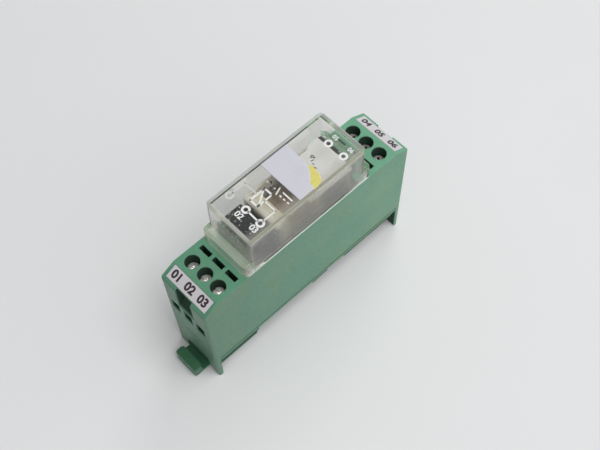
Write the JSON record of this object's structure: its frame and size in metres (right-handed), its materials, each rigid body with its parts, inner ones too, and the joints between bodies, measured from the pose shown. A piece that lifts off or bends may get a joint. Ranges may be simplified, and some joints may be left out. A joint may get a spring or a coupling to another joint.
{
  "type": "relay module",
  "caption": "Narrow rail-mounted relay module with screw terminals at both ends, a clear lift-off hood over a power relay and a sprung foot for a 35 mm rail",
  "frame": {"origin": "middle of the mounting rail's width and of the module's width, in the plane of the panel behind the rail, which is the plane of the module's feet", "axes": "+X along the module towards the contact terminals, +Y across it, +Z away from the panel"},
  "size_m": [0.0798, 0.0176, 0.0571],
  "materials": {
    "housing_green": "fine moulded texture, semi-matt",
    "foot_green": "moulded, slightly darker green",
    "clear_hood": "clear, lightly yellowed with age",
    "label_paper": "matt paper label, one torn edge",
    "label_plastic": "matt white marker strip",
    "board_green": "satin solder mask",
    "dark_plastic": "satin moulded",
    "clear_case": "clear, slightly smoked",
    "cream_plastic": "satin moulded",
    "white_plastic": "satin moulded",
    "copper_winding": "enamelled copper wire",
    "plated_steel": "zinc plated",
    "spring_steel": "bright wire",
    "nickel_screw": "nickel plated, a little tarnished",
    "tinned_brass": "tinned",
    "contact_brass": "bare brass with silver faces"
  },
  "bodies": {
    "housing": {"housing": "housing_green", "rail_foot": "foot_green", "latch_spring": "spring_steel", "label_strip_coil_end": "label_plastic", "label_strip_contact_end": "label_plastic", "circuit_board": "board_green", "relay_base": "dark_plastic", "relay_case": "clear_case", "coil_bobbin": "cream_plastic", "coil_winding": "copper_winding", "coil_core": "plated_steel", "coil_pins": "tinned_brass", "yoke": "plated_steel", "common_blade": "contact_brass", "make_contact": "contact_brass", "break_contact": "contact_brass", "contact_cover": "white_plastic", "input_capacitor": "dark_plastic", "bridge_rectifier": "dark_plastic", "series_resistor": "cream_plastic", "suppressor_diode": "dark_plastic", "current_bar_1": "tinned_brass", "current_bar_2": "tinned_brass", "current_bar_3": "tinned_brass", "current_bar_4": "tinned_brass", "current_bar_5": "tinned_brass", "current_bar_6": "tinned_brass"},
    "foot_latch": {"foot_latch": "foot_green"},
    "hood": {"hood": "clear_hood", "hood_label": "label_paper"},
    "armature": {"armature": "plated_steel"},
    "actuator_card": {"actuator_card": "white_plastic"},
    "contact_leaf": {"contact_leaf": "contact_brass"},
    "terminal_screw_1": {"terminal_screw_1": "nickel_screw"},
    "clamp_cage_1": {"clamp_cage_1": "plated_steel"},
    "terminal_screw_2": {"terminal_screw_2": "nickel_screw"},
    "clamp_cage_2": {"clamp_cage_2": "plated_steel"},
    "terminal_screw_3": {"terminal_screw_3": "nickel_screw"},
    "clamp_cage_3": {"clamp_cage_3": "plated_steel"},
    "terminal_screw_4": {"terminal_screw_4": "nickel_screw"},
    "clamp_cage_4": {"clamp_cage_4": "plated_steel"},
    "terminal_screw_5": {"terminal_screw_5": "nickel_screw"},
    "clamp_cage_5": {"clamp_cage_5": "plated_steel"},
    "terminal_screw_6": {"terminal_screw_6": "nickel_screw"},
    "clamp_cage_6": {"clamp_cage_6": "plated_steel"}
  },
  "joints": [
    {"name": "latch_slide", "type": "slide", "parent": "housing", "child": "foot_latch", "axis": [-1, 0, 0], "range_m": [0, 0.0025], "stiffness_N_per_m": 800, "springref_m": -0.004, "deforming": ["latch_spring"]},
    {"name": "hood_lift", "type": "slide", "parent": "housing", "child": "hood", "axis": [0, 0, 1], "range_m": [0, 0.02]},
    {"name": "armature_swing", "type": "hinge", "parent": "housing", "child": "armature", "pos_m": [0.0093, 0, 0.03855], "axis": [0, -1, 0], "range_deg": [0, 2.5], "stiffness_Nm_per_rad": 0.0002, "springref_deg": -17.19},
    {"name": "card_slide", "type": "slide", "parent": "housing", "child": "actuator_card", "axis": [-1, 0, 0], "range_m": [0, 0.00042]},
    {"name": "leaf_swing", "type": "hinge", "parent": "housing", "child": "contact_leaf", "pos_m": [0.0139, 0, 0.038], "axis": [0, -1, 0], "range_deg": [0, 2.5]},
    {"name": "screw_turn_1", "type": "hinge", "parent": "housing", "child": "terminal_screw_1", "pos_m": [-0.0276, 0.00508, 0.0365], "axis": [0, 0, 1], "range_deg": [-1440, 0]},
    {"name": "cage_rise_1", "type": "slide", "parent": "housing", "child": "clamp_cage_1", "axis": [0, 0, 1], "range_m": [0, 0.002]},
    {"name": "screw_turn_2", "type": "hinge", "parent": "housing", "child": "terminal_screw_2", "pos_m": [-0.0276, 0, 0.0365], "axis": [0, 0, 1], "range_deg": [-1440, 0]},
    {"name": "cage_rise_2", "type": "slide", "parent": "housing", "child": "clamp_cage_2", "axis": [0, 0, 1], "range_m": [0, 0.002]},
    {"name": "screw_turn_3", "type": "hinge", "parent": "housing", "child": "terminal_screw_3", "pos_m": [-0.0276, -0.00508, 0.0365], "axis": [0, 0, 1], "range_deg": [-1440, 0]},
    {"name": "cage_rise_3", "type": "slide", "parent": "housing", "child": "clamp_cage_3", "axis": [0, 0, 1], "range_m": [0, 0.002]},
    {"name": "screw_turn_4", "type": "hinge", "parent": "housing", "child": "terminal_screw_4", "pos_m": [0.0316, 0.00508, 0.0365], "axis": [0, 0, 1], "range_deg": [-1440, 0]},
    {"name": "cage_rise_4", "type": "slide", "parent": "housing", "child": "clamp_cage_4", "axis": [0, 0, 1], "range_m": [0, 0.002]},
    {"name": "screw_turn_5", "type": "hinge", "parent": "housing", "child": "terminal_screw_5", "pos_m": [0.0316, 0, 0.0365], "axis": [0, 0, 1], "range_deg": [-1440, 0]},
    {"name": "cage_rise_5", "type": "slide", "parent": "housing", "child": "clamp_cage_5", "axis": [0, 0, 1], "range_m": [0, 0.002]},
    {"name": "screw_turn_6", "type": "hinge", "parent": "housing", "child": "terminal_screw_6", "pos_m": [0.0316, -0.00508, 0.0365], "axis": [0, 0, 1], "range_deg": [-1440, 0]},
    {"name": "cage_rise_6", "type": "slide", "parent": "housing", "child": "clamp_cage_6", "axis": [0, 0, 1], "range_m": [0, 0.002]}
  ],
  "couplings": [
    {"joint": "armature_swing", "follows": "card_slide", "rad_per_m": 103.63},
    {"joint": "leaf_swing", "follows": "card_slide", "rad_per_m": 98.04},
    {"joint": "screw_turn_1", "follows": "cage_rise_1", "rad_per_m": -12566},
    {"joint": "screw_turn_2", "follows": "cage_rise_2", "rad_per_m": -12566},
    {"joint": "screw_turn_3", "follows": "cage_rise_3", "rad_per_m": -12566},
    {"joint": "screw_turn_4", "follows": "cage_rise_4", "rad_per_m": -12566},
    {"joint": "screw_turn_5", "follows": "cage_rise_5", "rad_per_m": -12566},
    {"joint": "screw_turn_6", "follows": "cage_rise_6", "rad_per_m": -12566}
  ]
}
